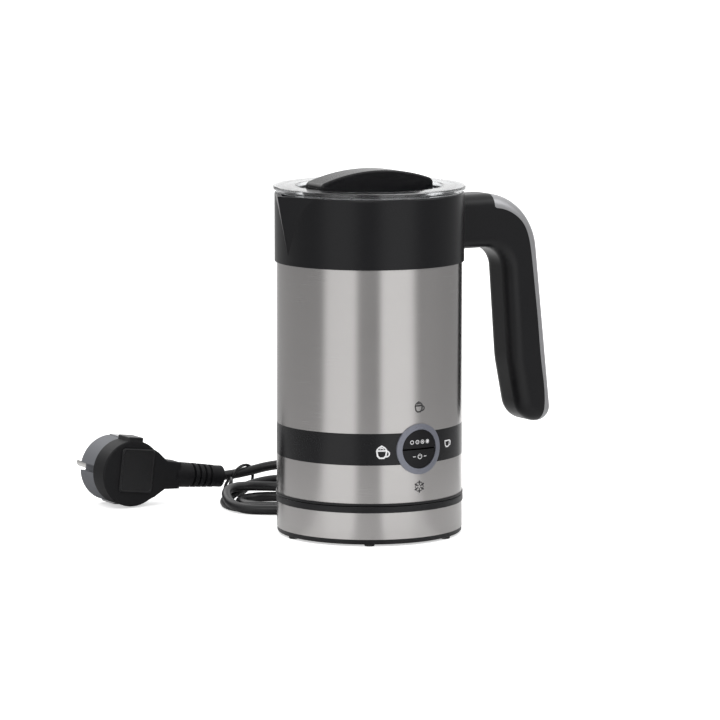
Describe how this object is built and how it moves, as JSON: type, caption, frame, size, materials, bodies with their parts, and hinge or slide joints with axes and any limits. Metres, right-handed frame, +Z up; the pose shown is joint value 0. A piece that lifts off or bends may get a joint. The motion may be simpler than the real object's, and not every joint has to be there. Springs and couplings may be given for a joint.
{
  "type": "milk frother",
  "caption": "Electric milk frother: steel jug with side handle, clear lid, push buttons and magnet-driven whisk, on a round power base with a folded mains lead.",
  "frame": {"origin": "on the jug axis, at the surface the base stands on", "axes": "+Z up along the jug axis, +X towards the handle, -X towards the spout, -Y towards the push buttons"},
  "size_m": [0.2029, 0.2319, 0.1965],
  "materials": {
    "black_plastic": "fine satin moulded black",
    "gloss_black": "smooth glossy black",
    "brushed_steel": "circumferential brushing",
    "pot_steel": "satin drawn steel",
    "bezel_grey": "satin blue-grey lacquer",
    "inlay_silver": "satin silver lacquer",
    "clear_plastic": "clear polished",
    "rubber_black": "matte",
    "silicone": "matte translucent grey",
    "zinc_screw": "zinc plated",
    "brass": "bright stamped",
    "nickel": "bright nickel",
    "board_green": "solder-masked laminate",
    "component_mix": "component bodies",
    "lamp": "diffused lens",
    "magnet": "nickel plated magnet",
    "motor_steel": "plated can",
    "white_plastic": "natural moulded",
    "cord_pvc": "soft black sheath"
  },
  "bodies": {
    "base": {"base_bottom": "black_plastic", "base_feet": "rubber_black", "base_sleeve": "brushed_steel", "base_top": "black_plastic", "base_screws": "zinc_screw", "base_connector": "black_plastic", "base_contacts": "brass", "cord_clamp": "white_plastic", "clamp_screws": "zinc_screw", "cord_gland": "rubber_black", "cord_run_base": "cord_pvc", "cord_run_plug": "cord_pvc", "cord_hank": "cord_pvc", "cord_tie": "rubber_black", "plug_body": "black_plastic", "plug_pins": "nickel", "plug_clips": "nickel"},
    "jug_socket": {"jug_socket": "black_plastic", "socket_contacts": "brass"},
    "jug": {"jug_bottom": "black_plastic", "jug_screws": "zinc_screw", "socket_retainer": "white_plastic", "lower_sleeve": "brushed_steel", "upper_sleeve": "brushed_steel", "control_band": "gloss_black", "button_bezel": "bezel_grey", "circuit_board": "board_green", "push_switches": "component_mix", "indicator_lamps": "lamp", "board_components": "component_mix", "motor_can": "motor_steel", "motor_end_cap": "white_plastic", "motor_bearings": "brass", "motor_bracket": "motor_steel", "milk_pot": "pot_steel", "whisk_axle": "pot_steel", "heater_ring": "motor_steel", "temperature_sensor": "brass", "thermal_fuse": "white_plastic", "collar": "black_plastic", "pot_seal": "silicone", "pot_retainer": "white_plastic", "handle_core": "black_plastic", "handle_inlay": "inlay_silver", "handle_screws": "zinc_screw"},
    "function_button": {"function_button": "gloss_black"},
    "power_button": {"power_button": "gloss_black"},
    "rotor": {"rotor_shaft": "motor_steel", "magnet_carrier": "white_plastic", "drive_magnets": "magnet"},
    "whisk": {"whisk_hub": "black_plastic", "whisk_magnets": "magnet", "whisk_coil": "pot_steel"},
    "lid": {"lid_disc": "clear_plastic", "lid_insert": "black_plastic", "lid_grip": "gloss_black", "lid_screws": "zinc_screw", "lid_gasket": "silicone"}
  },
  "joints": [
    {"name": "jug_lift", "type": "slide", "parent": "base", "child": "jug_socket", "axis": [0, 0, 1], "range_m": [0, 0.06]},
    {"name": "jug_swivel", "type": "hinge", "parent": "jug_socket", "child": "jug", "pos_m": [0, 0, 0.03], "axis": [0, 0, 1], "continuous": true},
    {"name": "lid_lift", "type": "slide", "parent": "jug", "child": "lid", "axis": [0, 0, 1], "range_m": [0, 0.06]},
    {"name": "rotor_spin", "type": "hinge", "parent": "jug", "child": "rotor", "pos_m": [0, 0, 0.05], "axis": [0, 0, 1], "continuous": true},
    {"name": "whisk_spin", "type": "hinge", "parent": "jug", "child": "whisk", "pos_m": [0, 0, 0.076], "axis": [0, 0, 1], "continuous": true},
    {"name": "function_press", "type": "slide", "parent": "jug", "child": "function_button", "axis": [0, 1, 0], "range_m": [0, 0.0007], "stiffness_N_per_m": 400},
    {"name": "power_press", "type": "slide", "parent": "jug", "child": "power_button", "axis": [0, 1, 0], "range_m": [0, 0.0007], "stiffness_N_per_m": 400}
  ],
  "couplings": [
    {"joint": "whisk_spin", "follows": "rotor_spin", "ratio": 1}
  ]
}
